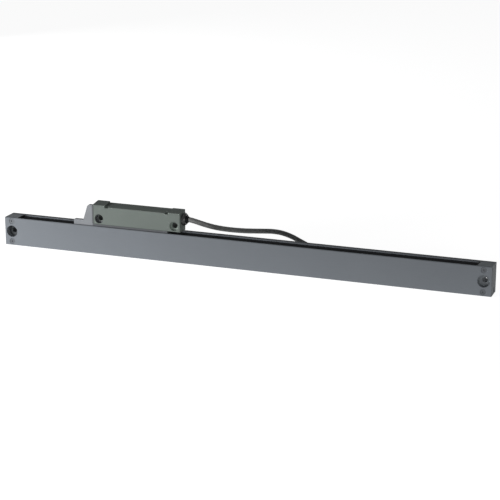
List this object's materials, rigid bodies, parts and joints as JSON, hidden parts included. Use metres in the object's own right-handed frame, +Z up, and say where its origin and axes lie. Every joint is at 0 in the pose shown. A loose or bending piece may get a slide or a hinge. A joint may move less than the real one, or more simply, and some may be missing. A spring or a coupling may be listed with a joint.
{
  "type": "linear glass scale",
  "caption": "Enclosed linear encoder: slotted aluminium housing with lip seals over a glass scale, and a reader head that slides on it, with mounting holes and a cable.",
  "frame": {"origin": "middle of the housing's underside, on the surface that it stands on, under the middle of its depth", "axes": "+X along the scale towards the end that the cable points to, -Y out of the front face, +Y out of the mounting face, +Z up through the slot"},
  "size_m": [0.436, 0.0852, 0.0453],
  "materials": {
    "housing_anodised": "satin clear anodised extrusion with faint lengthwise drawing marks",
    "plug_metal": "satin anodised die casting",
    "bracket_metal": "satin milled aluminium",
    "box_paint": "grey-green satin powder coat",
    "carriage_metal": "dark hard anodised",
    "connector_metal": "matt nickel plated",
    "screw_steel": "plain steel, lightly oiled",
    "track_chrome": "vapour deposited chrome graduation",
    "pin_brass": "gold plated contacts",
    "scale_glass": "clear ground glass",
    "seal_rubber": "matt black elastomer",
    "gland_black": "black moulded polyamide, satin",
    "lamp_plastic": "clear epoxy lens",
    "board_laminate": "green solder mask",
    "cable_jacket": "dark grey polyurethane jacket, slightly streaked"
  },
  "bodies": {
    "scale": {"housing": "housing_anodised", "end_plug_left": "plug_metal", "end_plug_right": "plug_metal", "end_gasket_left": "seal_rubber", "end_gasket_right": "seal_rubber", "plug_screws": "screw_steel", "front_lip_seal": "seal_rubber", "rear_lip_seal": "seal_rubber", "glass_scale": "scale_glass", "graduated_track": "track_chrome", "glass_seat": "seal_rubber"},
    "reader": {"carriage_bracket": "bracket_metal", "reader_box": "box_paint", "top_cover": "box_paint", "bracket_screws": "screw_steel", "head_board": "board_laminate", "scanning_carriage": "carriage_metal", "lamp": "lamp_plastic", "collimator_lens": "scale_glass", "index_reticle": "scale_glass", "detector_board": "board_laminate", "roller_axles": "screw_steel", "coupling_wire": "screw_steel", "gland_body": "gland_black", "gland_nut": "gland_black", "gland_sleeve": "seal_rubber", "cable_lead": "cable_jacket", "cable_hank": "cable_jacket", "cable_tie": "gland_black", "cable_tail": "cable_jacket", "connector_boot": "seal_rubber", "connector_shell": "connector_metal", "connector_ring": "connector_metal", "connector_pins": "pin_brass"},
    "edge_roller_left": {"edge_roller_left": "screw_steel"},
    "edge_roller_right": {"edge_roller_right": "screw_steel"},
    "face_roller_left": {"face_roller_left": "screw_steel"},
    "face_roller_right": {"face_roller_right": "screw_steel"},
    "face_roller_low": {"face_roller_low": "screw_steel"}
  },
  "joints": [
    {"name": "reader_slide", "type": "slide", "parent": "scale", "child": "reader", "axis": [1, 0, 0], "range_m": [-0.053, 0.267]},
    {"name": "edge_roller_left_spin", "type": "hinge", "parent": "reader", "child": "edge_roller_left", "pos_m": [-0.127, 0.00125, 0.0175], "axis": [0, 1, 0], "continuous": true},
    {"name": "edge_roller_right_spin", "type": "hinge", "parent": "reader", "child": "edge_roller_right", "pos_m": [-0.087, 0.00125, 0.0175], "axis": [0, 1, 0], "continuous": true},
    {"name": "face_roller_left_spin", "type": "hinge", "parent": "reader", "child": "face_roller_left", "pos_m": [-0.127, -0.0021, 0.0132], "axis": [0, 0, 1], "continuous": true},
    {"name": "face_roller_right_spin", "type": "hinge", "parent": "reader", "child": "face_roller_right", "pos_m": [-0.087, -0.0021, 0.0132], "axis": [0, 0, 1], "continuous": true},
    {"name": "face_roller_low_spin", "type": "hinge", "parent": "reader", "child": "face_roller_low", "pos_m": [-0.107, -0.0021, 0.0074], "axis": [0, 0, 1], "continuous": true}
  ],
  "couplings": [
    {"joint": "edge_roller_left_spin", "follows": "reader_slide", "rad_per_m": 500},
    {"joint": "edge_roller_right_spin", "follows": "reader_slide", "rad_per_m": 500},
    {"joint": "face_roller_left_spin", "follows": "reader_slide", "rad_per_m": 500},
    {"joint": "face_roller_right_spin", "follows": "reader_slide", "rad_per_m": 500},
    {"joint": "face_roller_low_spin", "follows": "reader_slide", "rad_per_m": 500}
  ]
}
